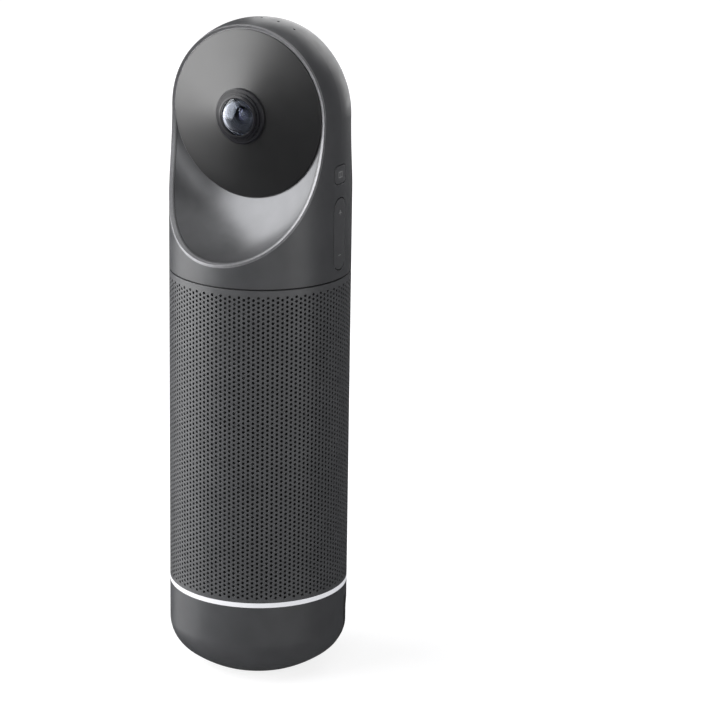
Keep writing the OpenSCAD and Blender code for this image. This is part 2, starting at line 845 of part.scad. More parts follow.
module lens_chassis() {
    foot_z = head_z0 + spigot_h;
    foot_h = 2.4;
    color([0.55, 0.56, 0.58]) difference() {
        union() {
            at_lens(FRONT) translate([0, 0, -chassis_t / 2]) cylinder(r = cut_flat_r - 7, h = chassis_t);
            block([-20, -chassis_t / 2, foot_z], [20, chassis_t / 2, lens_z]);
            block([-20, -6.4, foot_z], [20, 6.4, foot_z + foot_h]);
            for (x = [-1, 1], z = [-1, 1]) at_lens(FRONT) translate([x * 9.5, z * 9.5, -sensor_s])
                cylinder(r = 1.6, h = 2 * sensor_s, $fn = 32);
        }
        bulkhead_screw_places() translate([0, 0, foot_z - 1]) cylinder(r = screw_r, h = foot_h + 2, $fn = 32);
        at_lens(FRONT) for (x = [-1, 1]) translate([x * 21, 0, -chassis_t]) cylinder(r = 6, h = 2 * chassis_t);
    }
}

// Board with its image sensor, under the lens barrel
module sensor(side) {
    color(board_green) at_lens(side) translate([-sensor_w / 2, -sensor_w / 2, sensor_s]) cube([sensor_w, sensor_w, sensor_t]);
    color(plastic_black) at_lens(side) translate([-4.5, -4.5, sensor_s + sensor_t]) cube([9, 9, 1]);
}

// Tube that holds the lens, with a foot on the sensor board
module barrel(side) {
    foot_h = 2;
    color([0.1, 0.1, 0.1]) at_lens(side) difference() {
        union() {
            translate([0, 0, barrel_s0]) cylinder(r = glass_r + lens_wall, h = glass_edge - 2 - barrel_s0);
            translate([0, 0, barrel_s0]) cylinder(r = glass_r + lens_wall + 1.6, h = foot_h);
        }
        translate([0, 0, barrel_s0 - 1]) cylinder(r = glass_r - 0.4, h = glass_edge - barrel_s0 - 1);
        translate([0, 0, glass_edge - 5]) cylinder(r = glass_r + 0.1, h = 5);
    }
}

// Front lens: a thick bowl of glass with a short cylindrical edge
module glass(side) {
    ball_s = glass_tip - glass_ball_r;
    seat = glass_edge - 5;
    color([0.6, 0.7, 0.85, 0.4]) at_lens(side) difference() {
        intersection() {
            translate([0, 0, ball_s]) sphere(glass_ball_r, $fn = 192);
            translate([0, 0, seat]) cylinder(r = glass_r, h = glass_tip - seat + 1);
        }
        translate([0, 0, ball_s - 0.6]) sphere(glass_ball_r - glass_t + 0.6, $fn = 96);
    }
}

// Stepped ring round the glass
module lens_ring(side) {
    top = glass_edge - 0.2;
    inner = glass_r + 0.15;
    step_r = (lens_ring_r - inner - 0.8) / 3;
    step_h = (top - face_top) / 3;
    hole_r = lens_ring_r - face_overlap;
    color([0.12, 0.12, 0.13]) at_lens(side) rotate_extrude() polygon([
        [glass_r + lens_wall + 0.1, face_top - face_t - 1], [hole_r - fit, face_top - face_t - 1],
        [hole_r - fit, face_top + fit], [lens_ring_r, face_top + fit],
        [lens_ring_r, face_top + 0.5], [lens_ring_r - 0.5, face_top + step_h],
        [inner + 2 * step_r, face_top + step_h + 0.2], [inner + 2 * step_r, face_top + 2 * step_h - 0.2],
        [inner + step_r, face_top + 2 * step_h], [inner + step_r, face_top + 3 * step_h - 0.4],
        [inner + 0.3, top], [inner, top], [inner, glass_edge - 1.9],
        [glass_r + lens_wall + 0.1, glass_edge - 1.9]]);
}

// Shallow glossy cone round the lens ring
module face(side) {
    hole_r = lens_ring_r - face_overlap;
    rise_to = face_s + face_lip + face_rise;
    color(face_black) at_lens(side) rotate_extrude($fn = 192) polygon([
        [hole_r, rise_to - face_t], [hole_r, rise_to], [face_r - 0.2, face_s + face_lip],
        [face_r, face_s + face_lip - 0.2], [face_r, face_s],
        [face_r - 5, face_s]]);
}

// Panel of the dish and the seat of the face, inside the shell
module dish(side) {
    color(body_grey) intersection() {
        at_lens(side) difference() {
            cutter(dish_t);
            cutter(0);
            cylinder(r = face_r - 4.6, h = part_r);
        }
        head_solid(head_inner_r - fit, head_z0 + spigot_h + 1);
    }
}

// Bright edge along the cut
module edge_strip(side) {
    color(bright_grey) difference() {
        intersection() {
            at_lens(side) cutter(edge_w);
            head_solid(part_r, head_z0);
        }
        at_lens(side) cutter(0);
        head_solid(part_r - edge_t, head_z0 - 1);
    }
}

module mic_array() {
    reach = 32;
    at_lens(FRONT) translate([0, 0, -mic_board_w / 2]) {
        color(board_green) rotate([0, 0, 90 - reach]) rotate_extrude(angle = 2 * reach, $fn = 192)
            translate([mic_board_r - mic_board_t, 0]) square([mic_board_t, mic_board_w]);
        color(steel) for (a = mic_angles) rotate([0, 0, 90 + a])
            translate([mic_board_r - 0.05, -2, mic_board_w / 2 - 1.5]) cube([1, 4, 3]);
    }
}

module head_shell() {
    color(body_grey) difference() {
        head_solid(part_r, head_z0);
        head_solid(head_inner_r, head_z0 - 1);
        for (side = [FRONT, REAR]) at_lens(side) cutter(0);
        edge_rebates();
        at_x(mode_z) linear_extrude(part_r)
            rounded_outline(mode_w + 2 * button_gap, mode_h + 2 * button_gap, mode_corner + button_gap);
        at_x(pivot_z) linear_extrude(part_r) rounded_outline(rocker_w + 2 * button_gap,
            rocker_h + 2 * rocker_end_gap, rocker_w / 2 + button_gap - 0.01);
        at_lens(FRONT) for (a = mic_angles) rotate([0, 0, 90 + a]) rotate([0, 90, 0])
            translate([0, 0, mic_board_r]) cylinder(r = mic_hole_r, h = part_r, $fn = 32);
    }
}

module edge_rebates() {
    difference() {
        for (side = [FRONT, REAR]) at_lens(side) cutter(edge_w);
        head_solid(part_r - edge_t, head_z0 - 2);
    }
}

// ---------------------------------------------------------------- buttons

// Puts an outline drawn with its width in X and its height in Y on the +X side
module at_x(z) {
    translate([0, 0, z]) rotate([90, 0, 90]) children();
}

// Curved skin of the column between two radii, tall enough for the buttons
module skin(inner_r, outer_r) {
    ring(inner_r, outer_r, head_z0, lens_z);
}

module mode_button() {
    flange_x = head_inner_r - 1.6;
    color([0.2, 0.2, 0.21]) {
        intersection() {
            skin(cap_in, part_r);
            at_x(mode_z) linear_extrude(part_r + 1) rounded_outline(mode_w, mode_h, mode_corner);
        }
        at_x(mode_z) translate([0, 0, flange_x]) linear_extrude(cap_in + 0.2 - flange_x)
            rounded_outline(mode_w - 1.6, mode_h - 1.6, mode_corner);
        block([flange_x, -mode_w / 2 - 0.6, mode_z - mode_h / 2 - 0.6],
            [flange_x + 0.8, mode_w / 2 + 0.6, mode_z + mode_h / 2 + 0.6]);
        translate([stem_x, 0, mode_z]) rotate([0, 90, 0]) cylinder(r = 1.6, h = flange_x + 0.4 - stem_x, $fn = 48);
    }
}

module volume_rocker() {
    pad_in = switch_top + rocker_pad_z * sin(rocker_travel) + 0.35;
    color([0.2, 0.2, 0.21]) difference() {
        union() {
            intersection() {
                skin(cap_in, part_r);
                at_x(pivot_z) linear_extrude(part_r + 1)
                    rounded_outline(rocker_w, rocker_h, rocker_w / 2 - 0.01);
            }
            block([pivot_x, -rocker_w / 2 + 1, pivot_z - rocker_h / 2 + 4],
                [cap_in + 0.1, rocker_w / 2 - 1, pivot_z + rocker_h / 2 - 4]);
            translate([pivot_x, rocker_w / 2, pivot_z]) rotate([90, 0, 0]) cylinder(r = pivot_boss_r, h = rocker_w);
            for (z = [-1, 1]) translate([pad_in, 0, pivot_z + z * rocker_pad_z]) rotate([0, 90, 0])
                cylinder(r = 1.5, h = pivot_x + 0.2 - pad_in, $fn = 48);
        }
        translate([pivot_x, part_r, pivot_z]) rotate([90, 0, 0]) cylinder(r = pin_r + fit, h = 2 * part_r);
    }
}

module rocker_pin() {
    color(steel) translate([pivot_x, lug_y + lug_t, pivot_z]) rotate([90, 0, 0])
        cylinder(r = pin_r, h = 2 * (lug_y + lug_t));
}

module button_bracket() {
    boss_end = head_inner_r - 0.2;
    color(plastic_black) difference() {
        union() {
            block([plate_x - button_plate_t, -button_plate_w / 2, button_plate_z0],
                [plate_x, button_plate_w / 2, button_plate_z1]);
            for (y = [-lug_y - lug_t, lug_y])
                block([plate_x - 0.1, y, pivot_z - 4], [pivot_x + 1.2, y + lug_t, pivot_z + 4]);
            block([plate_x - button_plate_t - 6, -button_plate_w / 2, button_plate_z0],
                [plate_x - button_plate_t + 0.1, button_plate_w / 2, button_plate_z0 + button_plate_t]);
            translate([plate_x - 0.1, 0, button_plate_z1 - 1.8]) rotate([0, 90, 0])
                cylinder(r = 1.6, h = boss_end - plate_x, $fn = 48);
        }
        translate([pivot_x, part_r, pivot_z]) rotate([90, 0, 0]) cylinder(r = pin_r, h = 2 * part_r);
    }
}

module button_board() {
    color(board_green) block([plate_x, -lug_y + 0.4, button_plate_z0 + 2],
        [plate_x + button_board_t, lug_y - 0.4, button_plate_z1 - 3.8]);
}

module tact_switches() {
    places = [mode_z, pivot_z - rocker_pad_z, pivot_z + rocker_pad_z];
    for (z = places) {
        color(steel) block([switch_x, -2.6, z - 2.6], [switch_x + switch_h - 0.5, 2.6, z + 2.6]);
        color(plastic_black) translate([switch_x + 0.5, 0, z]) rotate([0, 90, 0])
            cylinder(r = 1.2, h = switch_h - 0.5, $fn = 48);
    }
}

foot_pad();
base_shell();
base_plate();
ballast();
tripod_insert();
base_screws();
port_bay();
port_board();
audio_jack();
usb_c_port();
hdmi_port();
lan_port();
power_jack();
deck();
led_board();
light_ring();
grille();
sound_cloth();
electronics_frame();
frame_screws();
main_board();
processor_heatsink();
shield_cans();
wifi_antennas();
speaker_box();
driver_frame();
driver_magnet();
driver_surround();
driver_cone();
driver_screws();
radiator_frame();
radiator_surround();
radiator_plate();
ribbon_cables();
bulkhead();
bulkhead_screws();
lens_chassis();
head_shell();
edge_strip(FRONT);  // front_edge
edge_strip(REAR);  // rear_edge
dish(FRONT);  // front_dish
dish(REAR);  // rear_dish
face(FRONT);  // front_face
face(REAR);  // rear_face
lens_ring(FRONT);  // front_lens_ring
lens_ring(REAR);  // rear_lens_ring
glass(FRONT);  // front_glass
glass(REAR);  // rear_glass
barrel(FRONT);  // front_barrel
barrel(REAR);  // rear_barrel
sensor(FRONT);  // front_sensor
sensor(REAR);  // rear_sensor
mic_array();
button_bracket();
button_board();
tact_switches();
mode_button();
volume_rocker();
rocker_pin();
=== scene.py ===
import math

import bpy
from mathutils import Matrix, Vector


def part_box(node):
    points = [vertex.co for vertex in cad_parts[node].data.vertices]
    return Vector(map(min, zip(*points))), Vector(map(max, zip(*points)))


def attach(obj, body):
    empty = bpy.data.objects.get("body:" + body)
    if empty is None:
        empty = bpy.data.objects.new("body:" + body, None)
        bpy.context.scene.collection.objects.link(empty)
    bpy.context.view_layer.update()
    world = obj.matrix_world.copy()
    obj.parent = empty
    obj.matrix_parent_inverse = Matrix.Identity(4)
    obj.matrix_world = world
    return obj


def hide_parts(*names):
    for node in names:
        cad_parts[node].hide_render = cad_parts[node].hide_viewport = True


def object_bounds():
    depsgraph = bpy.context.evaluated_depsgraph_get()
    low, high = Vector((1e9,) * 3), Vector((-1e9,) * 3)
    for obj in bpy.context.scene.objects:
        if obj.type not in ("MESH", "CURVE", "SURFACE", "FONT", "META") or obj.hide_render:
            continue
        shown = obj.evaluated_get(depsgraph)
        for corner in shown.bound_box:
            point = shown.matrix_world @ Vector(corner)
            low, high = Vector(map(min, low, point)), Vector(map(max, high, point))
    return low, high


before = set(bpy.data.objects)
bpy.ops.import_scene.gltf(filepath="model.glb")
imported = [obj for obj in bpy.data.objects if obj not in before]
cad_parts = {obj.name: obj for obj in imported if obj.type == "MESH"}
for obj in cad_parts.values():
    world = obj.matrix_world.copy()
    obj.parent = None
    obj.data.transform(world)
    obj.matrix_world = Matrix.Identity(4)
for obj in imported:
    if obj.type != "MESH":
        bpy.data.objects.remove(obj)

CAD_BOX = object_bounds()
MM = 0.001

# ------------------------------------------------------------ sizes, in metres, from the frame

GRILLE_LOW, GRILLE_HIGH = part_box("grille")
CLOTH_LOW, CLOTH_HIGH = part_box("sound_cloth")
RING_LOW, RING_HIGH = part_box("light_ring")
GLASS_LOW, GLASS_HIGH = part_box("front_glass")
ROCKER_LOW, ROCKER_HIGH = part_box("volume_rocker")
MODE_LOW, MODE_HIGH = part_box("mode_button")

COLUMN_R = GRILLE_HIGH.x
GRILLE_IN_R = CLOTH_HIGH.x + 0.1 * MM
LENS_Z = (GLASS_LOW.z + GLASS_HIGH.z) / 2
GLASS_TIP = -GLASS_LOW.y

# ------------------------------------------------------------ materials


class Finish:
    """A procedural material, built in small steps round one Principled shader."""

    def __init__(self, name, colour, metallic=0.0, roughness=0.5):
        self.material = bpy.data.materials.new(name)
        self.material.use_nodes = True
        self.tree = self.material.node_tree
        self.tree.nodes.clear()
        self.shader = self.add("ShaderNodeBsdfPrincipled")
        end = self.add("ShaderNodeOutputMaterial")
        self.link(self.shader.outputs["BSDF"], end.inputs["Surface"])
        self.place = self.add("ShaderNodeTexCoord").outputs["Object"]
        self.set(Metallic=metallic, Roughness=roughness)
        self.shader.inputs["Base Color"].default_value = (*colour, 1)
        self.colour = colour
        self.roughness = roughness
        self.normal = None

    def add(self, kind, **settings):
        made = self.tree.nodes.new(kind)
        for key, value in settings.items():
            setattr(made, key, value)
        return made

    def link(self, source, target):
        self.tree.links.new(source, target)
        return source

    def set(self, **values):
        for key, value in values.items():
            self.shader.inputs[key.replace("_", " ")].default_value = value

    def scaled(self, stretch):
        """The object's own coordinates, stretched along each axis."""
        mapping = self.add("ShaderNodeMapping")
        self.link(self.place, mapping.inputs["Vector"])
        mapping.inputs["Scale"].default_value = stretch
        return mapping.outputs["Vector"]

    def noise(self, size, detail=3.0, stretch=(1, 1, 1)):
        """Noise whose lumps are about size metres across."""
        made = self.add("ShaderNodeTexNoise")
        self.link(self.scaled(stretch), made.inputs["Vector"])
        made.inputs["Scale"].default_value = 1 / size
        made.inputs["Detail"].default_value = detail
        return made.outputs["Fac"]

    def math(self, operation, first, second=0.0):
        made = self.add("ShaderNodeMath", operation=operation)
        for socket, value in zip(made.inputs, (first, second)):
            if isinstance(value, (int, float)):
                socket.default_value = value
            else:
                self.link(value, socket)
        return made.outputs[0]

    def span(self, source, low, high, out_low, out_high):
        """source taken from the range low..high to out_low..out_high."""
        made = self.add("ShaderNodeMapRange", interpolation_type="SMOOTHSTEP")
        self.link(source, made.inputs["Value"])
        for key, value in zip(("From Min", "From Max", "To Min", "To Max"), (low, high, out_low, out_high)):
            made.inputs[key].default_value = value
        return made.outputs["Result"]

    def mix(self, factor, first, second):
        """A colour between first and second; either may be a colour or an output."""
        made = self.add("ShaderNodeMix", data_type="RGBA")
        self.link(factor, made.inputs["Factor"])
        for socket, value in ((made.inputs[6], first), (made.inputs[7], second)):
            if isinstance(value, tuple):
                socket.default_value = (*value, 1)
            else:
                self.link(value, socket)
        return made.outputs[2]

    def mottle(self, size, amount, detail=3.0, stretch=(1, 1, 1)):
        """Varies the base colour by a share of itself, in patches of about size."""
        patches = self.span(self.noise(size, detail, stretch), 0.3, 0.7, 0.0, 1.0)
        low = tuple(c * (1 - amount) for c in self.colour)
        high = tuple(c * (1 + amount) for c in self.colour)
        self.base = self.mix(patches, low, high)
        self.link(self.base, self.shader.inputs["Base Color"])
        return self

    def uneven_gloss(self, size, amount, stretch=(1, 1, 1)):
        """Varies the roughness by up to amount either way."""
        low, high = self.roughness - amount, self.roughness + amount
        gloss = self.span(self.noise(size, 4.0, stretch), 0.3, 0.7, low, high)
        self.link(gloss, self.shader.inputs["Roughness"])
        return self

    def grain(self, height, depth, strength=0.5):
        """Adds a bump of that depth, in metres, from a height output."""
        made = self.add("ShaderNodeBump")
        self.link(height, made.inputs["Height"])
        made.inputs["Distance"].default_value = depth
        made.inputs["Strength"].default_value = strength
        if self.normal is not None:
            self.link(self.normal, made.inputs["Normal"])
        self.normal = made.outputs["Normal"]
        self.link(self.normal, self.shader.inputs["Normal"])
        return self

    def worn_edges(self, width, colour, amount=0.6):
        """Lightens and smooths the edges, as handling does, and rounds their shading."""
        rounding = self.add("ShaderNodeBevel", samples=4)
        rounding.inputs["Radius"].default_value = width
        dot = self.add("ShaderNodeVectorMath", operation="DOT_PRODUCT")
        self.link(rounding.outputs["Normal"], dot.inputs[0])
        self.link(self.add("ShaderNodeNewGeometry").outputs["Normal"], dot.inputs[1])
        turned = self.math("SUBTRACT", 1.0, dot.outputs["Value"])
        patchy = self.span(self.noise(2.5 * MM, 4.0), 0.35, 0.65, 0.4, 1.0)
        mask = self.math("MULTIPLY", self.span(turned, 0.02, 0.3, 0.0, amount), patchy)
        self.link(self.mix(mask, self.base, colour), self.shader.inputs["Base Color"])
        self.normal = rounding.outputs["Normal"]
        self.link(self.normal, self.shader.inputs["Normal"])
        return self


def graphite(name, colour, roughness, texture=4e-6, edge=0.35 * MM):
    """Satin graphite paint on a finely textured moulding."""
    paint = Finish(name, colour, metallic=0.0, roughness=roughness)
    paint.mottle(9 * MM, 0.06)
    paint.worn_edges(edge, tuple(2.2 * c for c in colour), 0.5)
    paint.uneven_gloss(4 * MM, 0.03)
    paint.grain(paint.noise(0.32 * MM, 2.0), texture, 0.6)
    return paint


def shell_finish():
    paint = graphite("graphite_shell", (0.043, 0.044, 0.047), 0.34)
    paint.set(Specular_IOR_Level=0.75)
    return paint


def grille_finish():
    paint = graphite("graphite_grille", (0.05, 0.051, 0.054), 0.36, texture=3e-6, edge=0.12 * MM)
    paint.set(Specular_IOR_Level=0.75)
    return paint


def dish_finish():
    """Smoother metallic paint in the hollow of the head."""
    paint = Finish("satin_dish", (0.088, 0.089, 0.093), metallic=0.8, roughness=0.31)
    paint.mottle(6 * MM, 0.04)
    paint.uneven_gloss(3 * MM, 0.015)
    paint.grain(paint.noise(0.25 * MM, 2.0), 8e-7, 0.5)
    return paint


def edge_finish():
    """Bright machined edge with fine turning marks."""
    metal = Finish("machined_edge", (0.25, 0.25, 0.26), metallic=0.8, roughness=0.46)
    metal.mottle(1.5 * MM, 0.06)
    metal.worn_edges(0.2 * MM, (0.32, 0.32, 0.33), 0.6)
    metal.uneven_gloss(0.8 * MM, 0.06)
    metal.grain(metal.noise(0.1 * MM, 2.0), 2e-6, 0.4)
    return metal


def face_finish():
    """Glossy black face with a very slight orange peel."""
    gloss = Finish("gloss_face", (0.007, 0.007, 0.0075), roughness=0.34)
    gloss.mottle(12 * MM, 0.1)
    gloss.uneven_gloss(9 * MM, 0.012)
    gloss.grain(gloss.noise(1.6 * MM, 2.0), 1.2e-6, 0.5)
    gloss.set(Specular_IOR_Level=0.62)
    return gloss


def turned_rings(finish, pitch):
    """A height that rises and falls with the distance from the lens axis."""
    parts = finish.add("ShaderNodeSeparateXYZ")
    finish.link(finish.place, parts.inputs[0])
    x = finish.math("MULTIPLY", parts.outputs["X"], parts.outputs["X"])
    below = finish.math("SUBTRACT", parts.outputs["Z"], LENS_Z)
    z = finish.math("MULTIPLY", below, below)
    radius = finish.math("SQRT", finish.math("ADD", x, z))
    return finish.math("SINE", finish.math("MULTIPLY", radius, 2 * math.pi / pitch))


def lens_ring_finish():
    """Black anodised ring with turning marks."""
    metal = Finish("anodised_ring", (0.008, 0.008, 0.01), metallic=0.0, roughness=0.3)
    metal.mottle(2 * MM, 0.1)
    metal.worn_edges(0.1 * MM, (0.045, 0.045, 0.05), 0.7)
    metal.uneven_gloss(1.5 * MM, 0.03)
    metal.grain(turned_rings(metal, 0.4 * MM), 5e-6, 0.5)
    metal.set(Specular_IOR_Level=0.26)
    return metal


def glass_finish():
    """Coated lens glass, clear with a cool reflection."""
    glass = Finish("coated_glass", (0.62, 0.65, 0.74), roughness=0.11)
    glass.set(Transmission_Weight=1.0, IOR=1.42, Specular_IOR_Level=0.5)
    glass.shader.inputs["Specular Tint"].default_value = (0.82, 0.9, 1.0, 1)
    glass.uneven_gloss(1.5 * MM, 0.015)
    return glass


def baffle_finish():
    """Light-trapping paint inside the lens."""
    paint = Finish("baffle_black", (0.012, 0.012, 0.014), roughness=0.6)
    paint.mottle(1 * MM, 0.2)
    paint.uneven_gloss(1 * MM, 0.05)
    paint.grain(paint.noise(0.15 * MM, 2.0), 8e-6, 0.5)
    paint.set(Specular_IOR_Level=0.25)
    return paint


def inner_glass_finish():
    """Deep violet coating on the small lens behind the front glass."""
    glass = Finish("coated_element", (0.012, 0.01, 0.022), roughness=0.07)
    glass.mottle(1.5 * MM, 0.2)
    glass.uneven_gloss(1 * MM, 0.02)
    glass.set(Specular_IOR_Level=0.9, Coat_Weight=0.6, Coat_Roughness=0.04)
    glass.shader.inputs["Coat Tint"].default_value = (0.7, 0.75, 1.0, 1)
    return glass


def light_finish():
    """Milky light guide, lit from inside."""
    guide = Finish("lit_diffuser", (0.36, 0.36, 0.37), roughness=0.45)
    guide.mottle(3 * MM, 0.02)
    guide.uneven_gloss(2 * MM, 0.04)
    guide.grain(guide.noise(0.4 * MM, 2.0), 4e-6, 0.4)
    guide.shader.inputs["Emission Color"].default_value = (0.93, 0.94, 1.0, 1)
    guide.set(Emission_Strength=0.4)
    return guide


def button_finish():
    return graphite("soft_button", (0.05, 0.051, 0.054), 0.42, texture=3e-6, edge=0.25 * MM)


def moulded_black():
    plastic = Finish("moulded_black", (0.018, 0.018, 0.019), roughness=0.5)
    plastic.mottle(3 * MM, 0.15)
    plastic.worn_edges(0.15 * MM, (0.06, 0.06, 0.062), 0.5)
    plastic.uneven_gloss(2 * MM, 0.06)
    plastic.grain(plastic.noise(0.2 * MM, 2.0), 6e-6, 0.6)
    return plastic


def rubber_finish():
    rubber = Finish("foot_rubber", (0.022, 0.022, 0.022), roughness=0.82)
    rubber.mottle(5 * MM, 0.2)
    rubber.uneven_gloss(3 * MM, 0.06)
    rubber.grain(rubber.noise(0.35 * MM, 4.0), 3e-5, 0.6)
    rubber.set(Sheen_Weight=0.15, Sheen_Roughness=0.5)
    return rubber


def cloth_finish():
    """Acoustic cloth: a plain weave behind the grille."""
    cloth = Finish("acoustic_cloth", (0.008, 0.008, 0.008), roughness=0.95)
    cloth.mottle(4 * MM, 0.25)
    parts = cloth.add("ShaderNodeSeparateXYZ")
    cloth.link(cloth.place, parts.inputs[0])
    turns = 2 * math.pi / (0.5 * MM)
    around = cloth.math("ARCTAN2", parts.outputs["X"], parts.outputs["Y"])
    warp = cloth.math("SINE", cloth.math("MULTIPLY", around, turns * CLOTH_HIGH.x))
    weft = cloth.math("SINE", cloth.math("MULTIPLY", parts.outputs["Z"], turns))
    cloth.grain(cloth.math("MULTIPLY", warp, weft), 8e-5, 0.8)
    cloth.set(Sheen_Weight=0.2)
    return cloth


def metal_finish(name, colour, roughness, brushed=(1, 1, 12)):
    """A plain metal with drawn or turned marks."""
    metal = Finish(name, colour, metallic=1.0, roughness=roughness)
    metal.mottle(4 * MM, 0.08)
    metal.worn_edges(0.15 * MM, tuple(min(1.0, 1.25 * c) for c in colour), 0.6)
    metal.uneven_gloss(2 * MM, 0.07, brushed)
    metal.grain(metal.noise(0.3 * MM, 3.0, brushed), 5e-6, 0.5)
    return metal


def board_finish():
    """Solder mask over copper tracks."""
    board = Finish("solder_mask", (0.008, 0.045, 0.022), roughness=0.34)
    cells = board.add("ShaderNodeTexVoronoi", distance="MANHATTAN", feature="F1")
    board.link(board.place, cells.inputs["Vector"])
    cells.inputs["Scale"].default_value = 1 / (3.2 * MM)
    tracks = board.span(cells.outputs["Distance"], 0.28, 0.33, 0.0, 1.0)
    board.base = board.mix(tracks, (0.012, 0.075, 0.035), (0.006, 0.036, 0.018))
    board.link(board.base, board.shader.inputs["Base Color"])
    board.uneven_gloss(2 * MM, 0.06)
    board.grain(tracks, 2e-5, 0.5)
    board.set(Coat_Weight=0.3, Coat_Roughness=0.2)
    return board


def flex_finish():
    """Polyimide ribbon, amber over copper."""
    flex = Finish("polyimide_ribbon", (0.32, 0.12, 0.02), roughness=0.35)
    flex.mottle(1.2 * MM, 0.25, stretch=(6, 6, 0.3))
    flex.uneven_gloss(2 * MM, 0.05)
    flex.grain(flex.noise(0.5 * MM, 2.0, (6, 6, 0.3)), 2e-5, 0.5)
    return flex


def print_finish():
    """Pale ink of the button marks."""
    ink = Finish("pale_ink", (0.17, 0.17, 0.175), roughness=0.55)
    ink.mottle(0.6 * MM, 0.12)
    ink.uneven_gloss(0.8 * MM, 0.05)
    ink.grain(ink.noise(0.12 * MM, 2.0), 3e-6, 0.5)
    return ink


def gold_finish():
    return metal_finish("gold_contact", (0.83, 0.6, 0.24), 0.25, (1, 12, 1))


FINISHES = {
    "shell": shell_finish(),
    "grille": grille_finish(),
    "dish": dish_finish(),
    "edge": edge_finish(),
    "face": face_finish(),
    "lens_ring": lens_ring_finish(),
    "lens_glass": glass_finish(),
    "black_plastic": moulded_black(),
    "button": button_finish(),
    "light": light_finish(),
    "rubber": rubber_finish(),
    "cloth": cloth_finish(),
    "steel": metal_finish("zinc_steel", (0.6, 0.61, 0.63), 0.32),
    "iron": metal_finish("cast_iron", (0.2, 0.2, 0.21), 0.55, (1, 1, 1)),
    "brass": metal_finish("turned_brass", (0.75, 0.55, 0.25), 0.3),
    "aluminium": metal_finish("cast_aluminium", (0.62, 0.63, 0.65), 0.42, (1, 1, 1)),
    "circuit_board": board_finish(),
    "flex": flex_finish(),
}
INK = print_finish()
GOLD = gold_finish()
INNER_GLASS = inner_glass_finish()
BAFFLE_BLACK = baffle_finish()


def finish_cad_nodes():
    """Gives each CAD node the finish of its slot."""
    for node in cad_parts.values():
        slot = node.material_slots[0].material.name
        node.material_slots[0].material = FINISHES[slot.split(".")[0]].material


# ------------------------------------------------------------ pieces


def add_piece(name, points, faces, finish, body, sharp=50):
    """A mesh piece that rides on a body, with smooth shading between its sharp edges."""
    mesh = bpy.data.meshes.new(name)
    mesh.from_pydata(points, [], faces)
    mesh.validate()
    mesh.materials.append(finish.material)
    mesh.polygons.foreach_set("use_smooth", [True] * len(mesh.polygons))
    mesh.set_sharp_from_angle(angle=math.radians(sharp))
    piece = bpy.data.objects.new(name, mesh)
    bpy.context.scene.collection.objects.link(piece)
    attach(piece, body)
    return piece


# The grille: columns of holes, every second column half a pitch lower
COLUMNS = 120
ROWS = 68
HOLE_R = 0.68 * MM
TOP_MARGIN = 3.3 * MM
BOTTOM_MARGIN = 2.35 * MM
HALF_PITCH = (GRILLE_HIGH.z - GRILLE_LOW.z - TOP_MARGIN - BOTTOM_MARGIN) / (ROWS - 1) / 2
COLUMN_TURN = 2 * math.pi / COLUMNS
TOP, BOTTOM = "top", "bottom"
LAST_LEVEL = 2 * ROWS - 1
# Directions from a hole to the corners and mid sides of its cell: (sideways, up)
CELL = [(-1, 1), (-1, 0), (-1, -1), (0, -1), (1, -1), (1, 0), (1, 1), (0, 1)]


